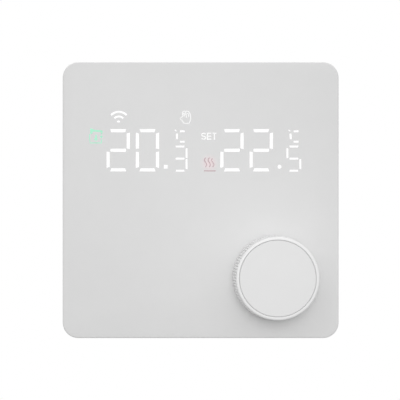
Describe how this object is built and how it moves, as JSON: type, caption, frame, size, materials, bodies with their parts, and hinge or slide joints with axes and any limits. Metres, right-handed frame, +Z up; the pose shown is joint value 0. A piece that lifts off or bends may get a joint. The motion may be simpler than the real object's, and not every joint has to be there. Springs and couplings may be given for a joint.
{
  "type": "wall thermostat",
  "caption": "Square wall thermostat with a shine-through digit display and a knurled push-and-turn knob; its front unit plugs on to a powered unit in the wall box.",
  "frame": {"origin": "on the wall's surface, midway between the two screws that fasten the mounting frame to the wall box, which is behind the middle of the front plate", "axes": "+Z up, +Y into the wall, +X to the right as one faces the thermostat, so the front faces -Y"},
  "size_m": [0.086, 0.0513, 0.086],
  "materials": {
    "cover_plastic": "fine satin moulded ABS",
    "knob_plastic": "satin moulded ABS",
    "inner_plastic": "moulded ABS",
    "housing_plastic": "moulded flame-retardant PC",
    "black_plastic": "moulded",
    "diffuser_film": "frosted polyester film",
    "circuit_board": "glass-epoxy laminate with green solder mask",
    "lamp_strip": "moulded lamp bodies",
    "shield_tin": "tinned sheet steel",
    "steel": "zinc plated",
    "brass": "stamped",
    "relay_case": "moulded case",
    "winding_tape": "polyester tape",
    "capacitor_sleeve": "shrink sleeve",
    "film_box": "moulded case",
    "disc_ceramic": "dipped coating",
    "terminal_plastic": "moulded polyamide"
  },
  "bodies": {
    "wall_unit": {"mounting_frame": "inner_plastic", "rear_housing": "housing_plastic", "power_board": "circuit_board", "header_socket": "black_plastic", "relay": "relay_case", "transformer": "winding_tape", "smoothing_capacitor": "capacitor_sleeve", "film_capacitor": "film_box", "varistor": "disc_ceramic", "fuse": "black_plastic", "terminal_block": "terminal_plastic", "wire_clamp_1": "brass", "wire_clamp_2": "brass", "wire_clamp_3": "brass", "wire_clamp_4": "brass", "wire_clamp_5": "brass", "wire_clamp_6": "brass", "terminal_screw_1": "steel", "terminal_screw_2": "steel", "terminal_screw_3": "steel", "terminal_screw_4": "steel", "terminal_screw_5": "steel", "terminal_screw_6": "steel", "housing_screw_upper_left": "steel", "housing_screw_upper_right": "steel", "housing_screw_lower_left": "steel", "housing_screw_lower_right": "steel", "box_screw_left": "steel", "box_screw_right": "steel"},
    "front_unit": {"front_cover": "cover_plastic", "display_diffuser": "diffuser_film", "segment_reflector": "inner_plastic", "room_digit_lamps": "lamp_strip", "set_digit_lamps": "lamp_strip", "main_board": "circuit_board", "wireless_module": "shield_tin", "control_chip": "black_plastic", "buzzer": "black_plastic", "room_sensor": "black_plastic", "pin_header": "black_plastic", "inner_back_cover": "inner_plastic", "board_screw_upper_left": "steel", "board_screw_upper_right": "steel", "board_screw_lower_left": "steel", "board_screw_lower_right": "steel", "encoder_bushing": "steel", "encoder_cap": "shield_tin", "encoder_base": "black_plastic", "detent_spring": "brass", "switch_dome": "steel"},
    "encoder_rotor": {"detent_rotor": "inner_plastic"},
    "knob": {"knob_shell": "knob_plastic", "knob_face": "knob_plastic", "hub_spring": "steel", "encoder_shaft": "steel"},
    "switch_plunger": {"switch_plunger": "black_plastic"}
  },
  "joints": [
    {"name": "front_unit_pull", "type": "slide", "parent": "wall_unit", "child": "front_unit", "axis": [0, -1, 0], "range_m": [0, 0.03]},
    {"name": "knob_turn", "type": "hinge", "parent": "front_unit", "child": "encoder_rotor", "pos_m": [0.0229, -0.013, -0.0241], "axis": [0, 1, 0], "continuous": true},
    {"name": "knob_press", "type": "slide", "parent": "encoder_rotor", "child": "knob", "axis": [0, 1, 0], "range_m": [0, 0.0005], "stiffness_N_per_m": 6000, "springref_m": -0.0003},
    {"name": "plunger_press", "type": "slide", "parent": "front_unit", "child": "switch_plunger", "axis": [0, 1, 0], "range_m": [0, 0.0005], "deforming": ["switch_dome"]}
  ],
  "couplings": [
    {"joint": "plunger_press", "follows": "knob_press", "ratio": 1}
  ]
}
